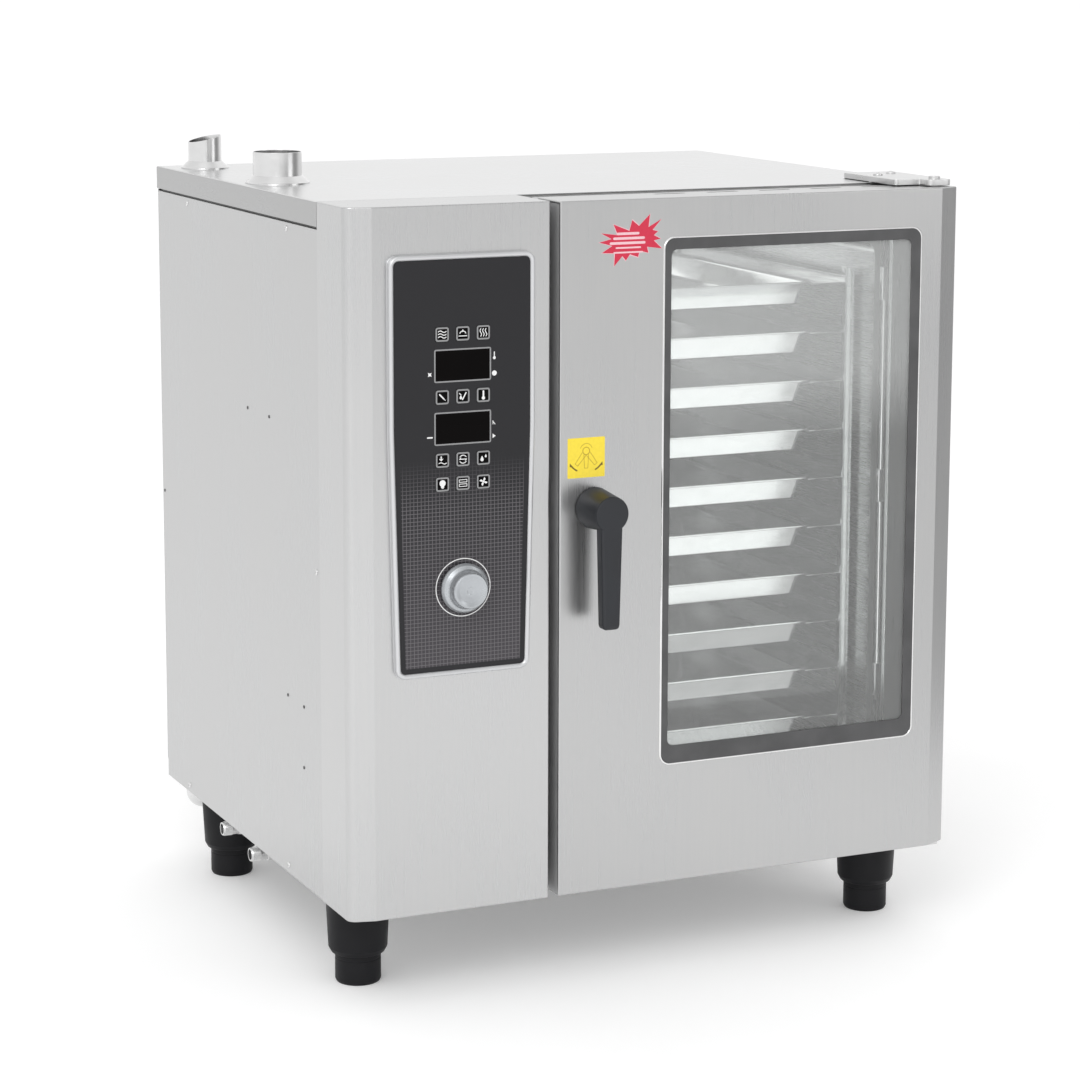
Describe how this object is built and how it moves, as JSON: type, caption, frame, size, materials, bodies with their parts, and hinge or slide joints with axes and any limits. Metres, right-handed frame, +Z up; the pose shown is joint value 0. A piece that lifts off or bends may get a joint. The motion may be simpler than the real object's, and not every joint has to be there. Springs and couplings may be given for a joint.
{
  "type": "combi steamer oven",
  "caption": "Combi steam and hot-air oven: steel cabinet on levelling feet, hinged glazed door with a lever handle, control column with keys, displays and a dial, trays inside.",
  "frame": {"origin": "on the floor under the middle of the overall box", "axes": "+Z up; -Y is the front, where the door and the controls are; +X is to the right as one faces the door"},
  "size_m": [0.911, 0.878, 1.1128],
  "materials": {
    "cabinet_steel": "brushed stainless, vertical grain",
    "door_steel": "brushed stainless, vertical grain",
    "frame_steel": "mill finish stainless",
    "cavity_steel": "bright stainless",
    "rack_steel": "electropolished stainless",
    "tray_steel": "polished stainless",
    "pipe_steel": "satin stainless tube",
    "inlet_metal": "nickel-plated brass",
    "screw_steel": "bright zinc",
    "foot_plastic": "moulded black nylon",
    "black_fitting": "moulded black nylon",
    "seal_rubber": "black silicone",
    "insulation_wool": "mineral wool",
    "motor_paint": "painted cast housing",
    "heater_tube": "heat-tinted steel tube",
    "lamp_glass": "frosted",
    "board_plastic": "circuit board",
    "contactor_plastic": "moulded grey",
    "bezel_silver": "silver satin",
    "fascia_film": "dark printed film",
    "display_plastic": "smoked window",
    "knob_silver": "satin silver",
    "door_glass": "clear toughened",
    "handle_plastic": "fine-textured anthracite"
  },
  "bodies": {
    "cabinet": {"air_baffle": "cavity_steel", "base_frame": "frame_steel", "bottom_panel": "cabinet_steel", "cable_gland": "black_fitting", "cavity_lamp": "lamp_glass", "cavity_liner": "cavity_steel", "column_cover": "cabinet_steel", "contactors": "contactor_plastic", "control_board": "board_plastic", "control_overlay": "fascia_film", "cover_screws": "screw_steel", "display_windows": "display_plastic", "door_keeper": "frame_steel", "door_seal": "seal_rubber", "drain_pipe": "pipe_steel", "encoder": "contactor_plastic", "fan_motor": "motor_paint", "fascia_bezel": "bezel_silver", "foot_sleeves": "foot_plastic", "front_frame": "frame_steel", "gn_trays": "tray_steel", "heating_elements": "heater_tube", "hinge_bracket_lower": "frame_steel", "hinge_bracket_upper": "frame_steel", "insulation": "insulation_wool", "left_side_panel": "cabinet_steel", "rack_left": "rack_steel", "rack_right": "rack_steel", "rear_panel": "cabinet_steel", "right_side_panel": "cabinet_steel", "top_cover": "cabinet_steel", "vent_pipes": "pipe_steel", "water_inlets": "inlet_metal"},
    "door": {"door_skin": "door_steel", "door_inner_frame": "door_steel", "outer_glass": "door_glass", "inner_glass": "door_glass", "window_trim": "seal_rubber", "hinge_bushes": "frame_steel"},
    "handle": {"handle_lever": "handle_plastic", "latch_spindle": "frame_steel"},
    "fan": {"fan_wheel": "cavity_steel"},
    "dial_push": {"encoder_plunger": "contactor_plastic"},
    "dial": {"knob": "knob_silver"},
    "foot_front_left": {"foot_insert_front_left": "foot_plastic"},
    "foot_front_right": {"foot_insert_front_right": "foot_plastic"},
    "foot_rear_left": {"foot_insert_rear_left": "foot_plastic"},
    "foot_rear_right": {"foot_insert_rear_right": "foot_plastic"},
    "key_hot_air": {"key_hot_air": "fascia_film"},
    "key_combi": {"key_combi": "fascia_film"},
    "key_steam": {"key_steam": "fascia_film"},
    "key_core_probe": {"key_core_probe": "fascia_film"},
    "key_clean": {"key_clean": "fascia_film"},
    "key_temperature": {"key_temperature": "fascia_film"},
    "key_cool_down": {"key_cool_down": "fascia_film"},
    "key_half_step": {"key_half_step": "fascia_film"},
    "key_humidity": {"key_humidity": "fascia_film"},
    "key_light": {"key_light": "fascia_film"},
    "key_start_stop": {"key_start_stop": "fascia_film"},
    "key_fan_speed": {"key_fan_speed": "fascia_film"}
  },
  "joints": [
    {"name": "door_hinge", "type": "hinge", "parent": "cabinet", "child": "door", "pos_m": [0.431, -0.345, 0.593], "axis": [0, 0, 1], "range_deg": [0, 130]},
    {"name": "handle_turn", "type": "hinge", "parent": "door", "child": "handle", "pos_m": [-0.1063, -0.381, 0.653], "axis": [0, 1, 0], "range_deg": [-75, 75]},
    {"name": "fan_spin", "type": "hinge", "parent": "cabinet", "child": "fan", "pos_m": [-0.119, 0.029, 0.618], "axis": [1, 0, 0], "continuous": true},
    {"name": "dial_press", "type": "slide", "parent": "cabinet", "child": "dial_push", "axis": [0, 1, 0], "range_m": [0, 0.0015], "stiffness_N_per_m": 1500, "springref_m": -0.0005},
    {"name": "dial_turn", "type": "hinge", "parent": "dial_push", "child": "dial", "pos_m": [-0.2985, -0.417, 0.563], "axis": [0, 1, 0], "continuous": true},
    {"name": "key_hot_air_press", "type": "slide", "parent": "cabinet", "child": "key_hot_air", "axis": [0, 1, 0], "range_m": [0, 0.0005], "stiffness_N_per_m": 800, "springref_m": -0.0002},
    {"name": "key_combi_press", "type": "slide", "parent": "cabinet", "child": "key_combi", "axis": [0, 1, 0], "range_m": [0, 0.0005], "stiffness_N_per_m": 800, "springref_m": -0.0002},
    {"name": "key_steam_press", "type": "slide", "parent": "cabinet", "child": "key_steam", "axis": [0, 1, 0], "range_m": [0, 0.0005], "stiffness_N_per_m": 800, "springref_m": -0.0002},
    {"name": "key_core_probe_press", "type": "slide", "parent": "cabinet", "child": "key_core_probe", "axis": [0, 1, 0], "range_m": [0, 0.0005], "stiffness_N_per_m": 800, "springref_m": -0.0002},
    {"name": "key_clean_press", "type": "slide", "parent": "cabinet", "child": "key_clean", "axis": [0, 1, 0], "range_m": [0, 0.0005], "stiffness_N_per_m": 800, "springref_m": -0.0002},
    {"name": "key_temperature_press", "type": "slide", "parent": "cabinet", "child": "key_temperature", "axis": [0, 1, 0], "range_m": [0, 0.0005], "stiffness_N_per_m": 800, "springref_m": -0.0002},
    {"name": "key_cool_down_press", "type": "slide", "parent": "cabinet", "child": "key_cool_down", "axis": [0, 1, 0], "range_m": [0, 0.0005], "stiffness_N_per_m": 800, "springref_m": -0.0002},
    {"name": "key_half_step_press", "type": "slide", "parent": "cabinet", "child": "key_half_step", "axis": [0, 1, 0], "range_m": [0, 0.0005], "stiffness_N_per_m": 800, "springref_m": -0.0002},
    {"name": "key_humidity_press", "type": "slide", "parent": "cabinet", "child": "key_humidity", "axis": [0, 1, 0], "range_m": [0, 0.0005], "stiffness_N_per_m": 800, "springref_m": -0.0002},
    {"name": "key_light_press", "type": "slide", "parent": "cabinet", "child": "key_light", "axis": [0, 1, 0], "range_m": [0, 0.0005], "stiffness_N_per_m": 800, "springref_m": -0.0002},
    {"name": "key_start_stop_press", "type": "slide", "parent": "cabinet", "child": "key_start_stop", "axis": [0, 1, 0], "range_m": [0, 0.0005], "stiffness_N_per_m": 800, "springref_m": -0.0002},
    {"name": "key_fan_speed_press", "type": "slide", "parent": "cabinet", "child": "key_fan_speed", "axis": [0, 1, 0], "range_m": [0, 0.0005], "stiffness_N_per_m": 800, "springref_m": -0.0002},
    {"name": "level_front_left", "type": "slide", "parent": "cabinet", "child": "foot_front_left", "axis": [0, 0, -1], "range_m": [0, 0.025]},
    {"name": "level_front_right", "type": "slide", "parent": "cabinet", "child": "foot_front_right", "axis": [0, 0, -1], "range_m": [0, 0.025]},
    {"name": "level_rear_left", "type": "slide", "parent": "cabinet", "child": "foot_rear_left", "axis": [0, 0, -1], "range_m": [0, 0.025]},
    {"name": "level_rear_right", "type": "slide", "parent": "cabinet", "child": "foot_rear_right", "axis": [0, 0, -1], "range_m": [0, 0.025]}
  ]
}
